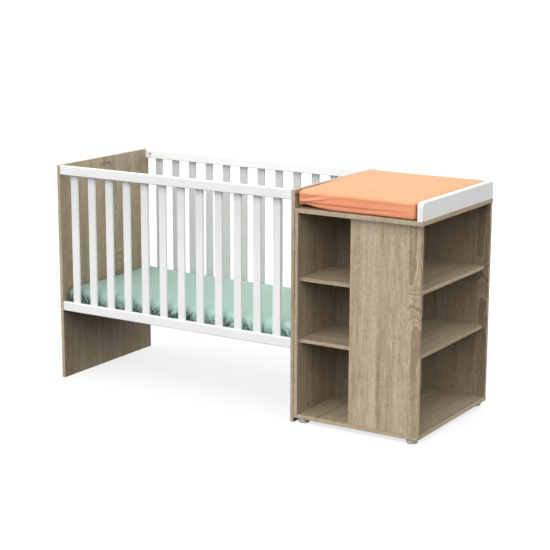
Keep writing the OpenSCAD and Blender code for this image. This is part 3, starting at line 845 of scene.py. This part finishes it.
def flat_sawn(tree, tone, split, axis, count, plank, from_plank, middle, top, bottom, strength):
    """Darken and lighten the tone by year rings that close into a tongue and arches.
    The rings are circles round a pith that swings away from the board between two heights."""
    height = split[2]
    swing = sum_of(tree, "MINIMUM", between(tree, height, *top, interpolation="SMOOTHSTEP"),
                   between(tree, height, *bottom, interpolation="SMOOTHSTEP"))
    wobble = minus(tree, grain_noise(tree, plank, 16, 6, 2.0), 0.5)
    shiver = minus(tree, grain_noise(tree, plank, 60, 22, 1.0), 0.5)
    lean = between(tree, height, bottom[0], top[0], middle[1], middle[0],
                   interpolation="SMOOTHSTEP")
    sideways = sum_of(tree, "MULTIPLY_ADD", wobble, 0.045, minus(tree, split[axis], lean))
    sideways = sum_of(tree, "MULTIPLY_ADD", shiver, 0.010, sideways)
    away = sum_of(tree, "MULTIPLY_ADD", wobble, 0.05, times(tree, swing, 0.075))
    radius = add(tree, "VectorMath", {0: add(tree, "CombineXYZ", {0: sideways, 1: away})},
                 out=1, operation="LENGTH")
    rings = ramp(tree, sum_of(tree, "DIVIDE", radius, WIDEST * MM),
                 [(ring / WIDEST, grey(level)) for ring, level in RINGS])
    shows = times(tree, sum_of(tree, "GREATER_THAN", count, from_plank - 0.5),
                  between(tree, height, 0.20, 0.44, 0.30, 1.0, "SMOOTHSTEP"))
    change = times(tree, minus(tree, rings, 0.5), shows)
    return sum_of(tree, "MULTIPLY_ADD", change, strength, tone)


def dark_streak(tree, tone, split, axis, drift, middle, half_width, strongest, gone):
    """One slow growing year: a darker band along the grain that fades out further up."""
    off = sum_of(tree, "ABSOLUTE", sum_of(
        tree, "MULTIPLY_ADD", drift, 0.03, minus(tree, split[axis], middle)))
    band = times(tree, between(tree, off, 0.0, half_width, 1.0, 0.0, "SMOOTHSTEP"),
                 between(tree, split[2], strongest, gone, 1.0, 0.0, "SMOOTHSTEP"))
    return sum_of(tree, "MULTIPLY_ADD", band, -0.16, tone)


print(len(RINGS), "rings out to", WIDEST, "mm")

# %% [markdown]
# The rest of the decor is built up as wood is: broad bands where one growing year follows another,
# narrower streaks inside them, short dark pores, and pale ladder-like flecks where the rays are
# cut. All of them are the same noise at different scales, stretched along the grain. The printed
# boards change about every 250 mm. Three touches of painted shade go by place. The faces inside
# the cabinet are painted darker than their edge bands, the boards get painted shade under the
# changer top and the bottom rail, and the seam between crib and cabinet is a dark line of painted
# shade.

# %% Build the oak decor
# Each layer of the grain: patches across and along in a metre, and how much it changes the tone.
LAYERS = ((12, 0.5, 0.24), (48, 1.3, 0.24), (120, 6, 0.26), (210, 24, 0.28), (300, 90, 0.36),
          (460, 60, 0.16))


def oak_decor(name, turn, plank_axis, first_joint, plank_width, figure=None, streak=None,
              face_axis=0, face_shade_tone=1.0, side=0, ledge=None, slow=0.0, seam=None):
    """turn brings the grain to Z. plank_axis is the axis that counts planks after that turn.
    Faces that look along face_axis get painted shade in this tone, and edge bands stay paler. A
    side of 1 or -1 keeps that painted shade to the face that looks up or down that axis. Below a
    ledge, given by its height, the first few centimetres get painted shade, and a seam between two
    boards is a dark line of painted shade at that place on the left-right axis."""
    material, tree, shader, raw = new_finish(name, Specular_IOR_Level=0.35)
    place = add(tree, "Mapping", {"Vector": raw, "Rotation": turn})
    split = axes_of(tree, place)
    count = sum_of(tree, "FLOOR", sum_of(
        tree, "DIVIDE", minus(tree, split[plank_axis], first_joint), plank_width))
    leap = add(tree, "CombineXYZ", {
        axis: times(tree, count, step) for axis, step in enumerate((0.377, 0.613, 1.91))})
    plank = vector_of(tree, "ADD", place, leap)
    wavy = wander(tree, plank, 5, 2.2, 0.014)

    own = add(tree, "TexWhiteNoise", {"W": count}, noise_dimensions="1D")
    tone = sum_of(tree, "MULTIPLY_ADD", own, 0.06, 0.47)
    for across, along, share in LAYERS:
        layer = minus(tree, grain_noise(tree, wavy, across, along, 1.0), 0.5)
        tone = sum_of(tree, "MULTIPLY_ADD", layer, share, tone)
    if figure is not None:
        tone = flat_sawn(tree, tone, split, plank_axis, count, plank, **figure)
    if streak is not None:
        drift = minus(tree, grain_noise(tree, plank, 9, 3), 0.5)
        tone = dark_streak(tree, tone, split, plank_axis, drift, *streak)
    wood = ramp(tree, tone, [(0.30, rgb(143, 127, 105)), (0.5, rgb(176, 161, 136)),
                             (0.70, rgb(197, 184, 160))])

    warm = between(tree, grain_noise(tree, plank, 11, 0.6, 1.0), 0.38, 0.62)
    warmed = tinted(tree, warm, wood, (1.0, 0.96, 0.93, 1.0))
    rays = times(tree, between(tree, grain_noise(tree, wavy, 55, 240, 1.0), 0.56, 0.68),
                 between(tree, grain_noise(tree, plank, 26, 7, 1.0), 0.54, 0.64))
    flecked = blend_colours(tree, times(tree, rays, 0.45), warmed, rgb(194, 179, 155))
    pores = between(tree, grain_noise(tree, wavy, 620, 34, 1.0), 0.62, 0.70)
    pored = blend_colours(tree, times(tree, pores, 0.55), flecked, rgb(106, 91, 71))

    # Painted shade: faces that look along the chosen axis are darkened, their edge bands are not.
    way = axes_of(tree, add(tree, "TexCoord", {}, out=1))[face_axis]
    way = times(tree, way, side) if side else sum_of(tree, "ABSOLUTE", way)
    on_face = between(tree, way, 0.7, 0.95)
    colour = tinted(tree, on_face, pored, grey(face_shade_tone))
    if ledge is not None:
        colour = under_ledge(tree, colour, split[2], ledge, slow,
                             on_face if face_shade_tone < 1 else 1.0)
    # Painted shade: a dark line in the seam between the foot end and the cabinet side, below the
    # changer top.
    if seam is not None:
        off = sum_of(tree, "ABSOLUTE", minus(tree, split[0], seam))
        line = times(tree, between(tree, off, 0.6 * MM, 2.2 * MM, 0.85, 0.0),
                     sum_of(tree, "LESS_THAN", split[2], CHANGER_TOP))
        colour = tinted(tree, line, colour, DEEP_SHADE)
    fibres = grain_noise(tree, wavy, 330, 9, 2.0, 0.6)
    dress(tree, shader, colour, fibres, (0.44, 0.56),
          (minus(tree, fibres, pores), 0.12, 0.4 * MM))
    return material


CHANGER_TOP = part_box("cabinet_top")[1].z
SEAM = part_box("foot_end_panel")[1].x
print("the changer top is", round(CHANGER_TOP, 3), "m high, the seam at", round(SEAM, 3), "m")

# %% [markdown]
# Each run of the grain is one material, the same decor turned and laid out in its own way. A
# board's faces could be turned one by one in a map, but with solid coordinates it is enough to
# turn the space that the pattern fills.

# %% Lay out the runs of the grain
quarter = math.pi / 2
HEAD_STRIP = {"from_plank": 0, "middle": (0.060, 0.080), "strength": 0.8,
              "top": (0.820, 0.740), "bottom": (0.400, 0.560)}
OUTER_STRIP = {"from_plank": 1, "middle": (0.8725, 0.893), "strength": 1.15,
               "top": (0.675, 0.600), "bottom": (0.430, 0.600)}
ENDS = {"turn": (0, 0, 0), "plank_axis": 1, "first_joint": -0.101, "plank_width": 0.25,
        "figure": HEAD_STRIP, "face_axis": 0, "face_shade_tone": 0.82}
FRONTS = {"turn": (0, 0, 0), "plank_axis": 0, "first_joint": 0.5945, "plank_width": 0.2625,
          "face_axis": 1}
FLATS = {"plank_width": 0.25, "face_axis": 2, "face_shade_tone": 0.76}
# Face tones below 1 are painted shade on the carcass faces, darkest on the niche wall.
oak = {
    "across_y": oak_decor("oak_decor_upright_on_ends", seam=SEAM, **ENDS),
    "head": oak_decor("oak_decor_head_end", side=1, slow=0.3,
                      ledge=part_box("front_bottom_rail")[0].z, **ENDS),
    "across_x": oak_decor("oak_decor_upright_on_fronts", figure=OUTER_STRIP,
                          streak=(0.732, 0.020, 0.30, 0.62),
                          ledge=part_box("cabinet_top")[0].z, **FRONTS),
    "inside_x": oak_decor("oak_decor_upright_inside", figure=OUTER_STRIP, face_shade_tone=0.60,
                          side=-1, **FRONTS),
    "niche": oak_decor("oak_decor_niche_wall", face_shade_tone=0.44, **FRONTS),
    "flat_y": oak_decor("oak_decor_grain_front_to_back", (quarter, 0, 0), 0, 0.455, **FLATS),
    "flat_x": oak_decor("oak_decor_grain_left_to_right", (0, -quarter, 0), 1, -0.12, **FLATS),
}
print(len(oak), "runs of the grain")

# %% [markdown]
# The decor's grain stands upright on everything that stands. On the changer top, the cabinet
# bottom and the long side shelves it runs from front to back, and on the short niche shelves from
# left to right, as each is cut with the grain along its length.

# %% Give each board the right run
def paint(piece, material):
    piece.data.materials.clear()
    piece.data.materials.append(material)


for board, run in GRAIN.items():
    paint(oak_pieces[board], oak[run])
print(len(GRAIN), "oak boards painted")

# %% [markdown]
# ## White lacquer
#
# Rails, slats and the guard board are beech under a white satin lacquer. White paint is never
# quite even: the film pools and thins by a hair, and the grain beneath telegraphs through it. A
# slow noise in the colour and in the roughness, and a fine one in the bump, are enough. The rails
# and slats keep their CAD meshes, whose rounded edges are already right. The slats get the shade
# under the top rails.

# %% Lacquer the rails, slats and guard board
def white_lacquer(name, ledge=None):
    material, tree, shader, raw = new_finish(name, Specular_IOR_Level=0.45)
    film = cloudy(tree, raw, 9.0, 3.0)
    colour = blend_colours(tree, between(tree, film, 0.35, 0.65),
                           rgb(229, 229, 228), rgb(232, 232, 232))
    if ledge is not None:
        colour = under_ledge(tree, colour, axes_of(tree, raw)[2], ledge, 0.18)
    dress(tree, shader, colour, film, (0.34, 0.44), (cloudy(tree, raw, 260.0), 0.05, 0.2 * MM))
    return material


lacquer = white_lacquer("white_lacquer")
slat_lacquer = white_lacquer("white_lacquer_slats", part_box("front_top_rail")[0].z)
RAILS = ["front_top_rail", "front_bottom_rail", "back_top_rail", "back_bottom_rail"]
SLATS = ["%s_slat_%02d" % (side, i) for side in ("front", "back") for i in range(1, 13)]
for node in RAILS:
    paint(nodes[node], lacquer)
for node in SLATS:
    paint(nodes[node], slat_lacquer)
paint(guard, lacquer)
print(len(RAILS + SLATS) + 1, "white pieces")

# %% [markdown]
# ## Pine, plastic and steel
#
# The base under the mattress is pale pine with clear growth rings, the same stretched noise as
# the oak in other colours. The feet are grey moulded plastic with a fine spark-eroded texture.
# Most fasteners are zinc plated steel, a metal whose crystals make small patches of duller and
# brighter grey. The bolts and barrel nuts that hold the crib's sides are the same metal, painted
# dark as shade of their holes, so their heads show as dark dots.

# %% Finish the base, the feet and the fasteners
def raw_pine(name, turn):
    material, tree, shader, raw = new_finish(name, Specular_IOR_Level=0.25)
    wavy = wander(tree, add(tree, "Mapping", {"Vector": raw, "Rotation": turn}), 6, 1.5, 0.03)
    rings = grain_noise(tree, wavy, 120, 1.6, 1.0)
    fibres = grain_noise(tree, wavy, 700, 14, 1.0)
    tone = sum_of(tree, "MULTIPLY_ADD", fibres, 0.25, times(tree, rings, 0.75))
    colour = blend_colours(tree, between(tree, tone, 0.36, 0.62),
                           rgb(186, 140, 88), rgb(226, 192, 143))
    dress(tree, shader, colour, fibres, (0.55, 0.7), (tone, 0.15, 0.3 * MM))
    return material


def grey_plastic():
    material, tree, shader, raw = new_finish("grey_plastic", Specular_IOR_Level=0.4)
    spark = cloudy(tree, raw, 900.0, 1.0)
    colour = blend_colours(tree, cloudy(tree, raw, 30.0), rgb(168, 167, 165), rgb(180, 179, 176))
    dress(tree, shader, colour, spark, (0.45, 0.6), (spark, 0.2, 0.15 * MM))
    return material


def plated_steel(name, dull, bright):
    material, tree, shader, raw = new_finish(name, Metallic=1.0)
    crystals = add(tree, "TexVoronoi", {"Vector": raw, "Scale": 350.0}, out=1)
    spangle = add(tree, "RGBToBW", {0: crystals})
    dress(tree, shader, blend_colours(tree, spangle, dull, bright), spangle, (0.28, 0.42),
          (cloudy(tree, raw, 1200.0), 0.1, 0.05 * MM), span=(0.0, 1.0))
    return material


pine_along_x = raw_pine("raw_pine_along_x", (0, -quarter, 0))
pine_along_y = raw_pine("raw_pine_along_y", (quarter, 0, 0))
paint(pine_pieces["base_side_battens"], pine_along_x)
for part in ("base_end_beams", "base_slats", "base_cleats"):
    paint(pine_pieces[part], pine_along_y)
paint(nodes["dowels"], pine_along_x)
paint(feet, grey_plastic())
zinc = plated_steel("zinc_plate", rgb(168, 170, 173), rgb(200, 202, 205))
# Painted shade: the crib's bolts and barrel nuts are dark to stand for the shade in their holes.
hole_shade_steel = plated_steel("steel_dark_for_hole_shade", rgb(50, 49, 48), rgb(84, 82, 80))
ZINC = ["connector_bolts", "connector_sleeves", "cam_locks", "cam_pins", "shelf_pins",
        "wood_screws"]
HOLE_SHADE_FASTENERS = ["crib_bolts", "barrel_nuts"]
for fasteners, metal in ((ZINC, zinc), (HOLE_SHADE_FASTENERS, hole_shade_steel)):
    for node in fasteners:
        paint(nodes[node], metal)
print(len(ZINC + HOLE_SHADE_FASTENERS), "kinds of fastener")

# %% [markdown]
# ## Jersey and wipe-clean cover
#
# The sheet is knitted jersey: wales run one way and courses the other, about a millimetre apart,
# and the soft yarn gives it a sheen at glancing angles. Painted shade makes it darker in its
# creases and where it is gathered, where it also has pleats too fine to model, and greyer towards
# the head end. The mat's cover is a coated cloth, closed and matt, with only a faint grain pressed
# into it and a slow change of tone; painted shade makes it darker in its folds, under its hem and
# at its right front corner, and nearly black at the rim on which it lies. Both read the map that
# was laid over the cushions, so the threads turn the corners with the cloth.

# %% Finish the sheet and the mat's cover
def threads(tree, cloth, scale, distortion, direction):
    """Fine bands that follow one another in this direction of the map."""
    return add(tree, "TexWave", {"Vector": cloth, "Scale": scale, "Distortion": distortion,
                                 "Detail": 1.0}, out=1, bands_direction=direction)


def remembered(tree, name):
    return add(tree, "Attribute", {}, out=2, attribute_name=name)


def mint_jersey():
    material, tree, shader, raw = new_finish(
        "mint_jersey", Specular_IOR_Level=0.15, Sheen_Weight=0.15, Sheen_Roughness=0.5)
    cloth = add(tree, "UVMap", {}, uv_map="cloth")
    knit = times(tree, threads(tree, cloth, 280.0, 0.6, "X"),
                 threads(tree, cloth, 210.0, 0.6, "Y"))
    mottle = cloudy(tree, raw, 60.0, 4.0)
    tone = sum_of(tree, "MULTIPLY_ADD", knit, 0.35, times(tree, mottle, 0.65))
    unshaded = blend_colours(tree, between(tree, tone, 0.2, 0.65),
                          rgb(166, 199, 187), rgb(182, 213, 201))
    crease_and_shade, gather = remembered(tree, "crease_and_shade"), remembered(tree, "gather")
    pleats = add(tree, "TexNoise", {"Vector": vector_of(tree, "MULTIPLY", cloth, (62, 24, 1)),
                                    "Scale": 1.0, "Detail": 1.0, "Distortion": 1.2})
    pleat = times(tree, gather, between(
        tree, sum_of(tree, "ABSOLUTE", minus(tree, pleats, 0.5)), 0.0, 0.07, 1.0, 0.0))
    # Painted shade: greyer towards the head end, darker in the creases, in the fine pleats and on
    # the gathered lower sides.
    along = axes_of(tree, raw)[0]
    painted_shade = sum_of(tree, "ADD", between(tree, along, -0.88, 0.15, 0.32, 0.0),
                  between(tree, along, -0.89, -0.70, 0.22, 0.0))
    for mark, weight in ((crease_and_shade, 0.75), (pleat, 0.45), (gather, 0.22)):
        painted_shade = sum_of(tree, "MULTIPLY_ADD", mark, weight, painted_shade)
    colour = blend_colours(tree, sum_of(tree, "MINIMUM", painted_shade, 0.9), unshaded, rgb(58, 82, 75))
    dress(tree, shader, colour, mottle, (0.8, 0.92),
          (sum_of(tree, "MULTIPLY_ADD", pleat, -5.0, knit), 0.35, 0.3 * MM))
    return material


def apricot_cover():
    material, tree, shader, raw = new_finish("apricot_cover", Specular_IOR_Level=0.04)
    cloth = add(tree, "UVMap", {}, uv_map="cloth")
    weave = sum_of(tree, "ADD", threads(tree, cloth, 420.0, 0.4, "X"),
                   threads(tree, cloth, 420.0, 0.4, "Y"))
    cloud = cloudy(tree, raw, 7.0, 3.0)
    unshaded = blend_colours(tree, between(tree, cloud, 0.3, 0.7),
                          rgb(228, 151, 112), rgb(233, 160, 121))
    # Painted shade: darker in the fold hollows, under the hem and at the right front corner,
    # nearly black on the rim on which the mat lies.
    crease_and_shade = remembered(tree, "crease_and_shade")
    fold_shaded = blend_colours(tree, times(tree, crease_and_shade, 0.75), unshaded, rgb(176, 108, 90))
    colour = blend_colours(tree, between(tree, crease_and_shade, 0.8, 1.0), fold_shaded, rgb(70, 36, 26))
    dress(tree, shader, colour, cloud, (0.5, 0.6), (weave, 0.12, 0.15 * MM))
    return material


paint(mattress, mint_jersey())
paint(mat, apricot_cover())
print("cushions finished")

# %% [markdown]
# ## Studio
#
# The piece stands on a plain pale floor in soft light. The sky is dim at the horizon and dim
# again overhead, and brightest in between, like a ring of big softboxes, so that fronts are bright
# and the depths of the shelves fall off. A very large soft sun from high in front does the rest.
# Light linking flags it off the back slats and the back bottom rail, as the front side and the
# mattress would shade them. The floor is a light table: it glows a little, which keeps its own
# shadow pale, and it is hidden from bounced light, so that it doesn't light the shelves from
# below. The standard view keeps whites white, where the filmic one would grey them.

# %% Set the floor and the light
GLOW = 0.72


def pale_floor():
    material, tree, shader, raw = new_finish(
        "pale_floor", Specular_IOR_Level=0.0, Emission_Color=(1, 1, 1, 1),
        Emission_Strength=GLOW)
    cloud = cloudy(tree, raw, 1.5, 3.0)
    dress(tree, shader, blend_colours(tree, cloud, rgb(140, 140, 140), rgb(143, 143, 143)),
          cloud, (0.85, 0.95))
    return material


bpy.ops.object.select_all(action="DESELECT")
bpy.ops.mesh.primitive_plane_add(size=400, location=(0, 0, 0))
floor = bpy.context.active_object
floor.name = "floor"
paint(floor, pale_floor())
floor.visible_diffuse = floor.visible_glossy = False

BELOW, HORIZON, SOFTBOXES, ZENITH, SUN = 0.03, 0.30, 2.12, 0.40, 0.40
sky = bpy.data.worlds.new("studio")
sky.use_nodes = True
dome = sky.node_tree
rise = axes_of(dome, add(dome, "TexCoord", {}))[2]
dome.nodes["Background"].inputs["Color"].default_value = (1, 1, 1, 1)
climb = between(dome, rise, 0.0, 0.25, HORIZON, SOFTBOXES)
above = minus(dome, climb, between(dome, rise, 0.50, 1.0, 0.0, SOFTBOXES - ZENITH))
wire(dome, minus(dome, above, between(dome, rise, -0.04, 0.0, HORIZON - BELOW, 0.0)),
     dome.nodes["Background"].inputs["Strength"])
scene.world = sky

sun_light = bpy.data.lights.new("soft_sun", "SUN")
sun_light.energy = SUN * math.pi
sun_light.angle = math.radians(45)
sun = bpy.data.objects.new("soft_sun", sun_light)
scene.collection.objects.link(sun)
towards_light = Vector((0.05, -0.75, 0.66))
sun.rotation_euler = towards_light.to_track_quat("Z", "Y").to_euler()
flagged = bpy.data.collections.new("flagged_from_the_sun")
for node in ["back_slat_%02d" % i for i in range(1, 13)] + ["back_bottom_rail"]:
    flagged.objects.link(nodes[node])
sun.light_linking.receiver_collection = flagged
for member in flagged.collection_objects:
    member.light_linking.link_state = "EXCLUDE"
scene.view_settings.view_transform = "Standard"
print("sky", HORIZON, "to", SOFTBOXES, "and a sun", round(math.degrees(math.asin(
    towards_light.normalized().z))), "degrees high")
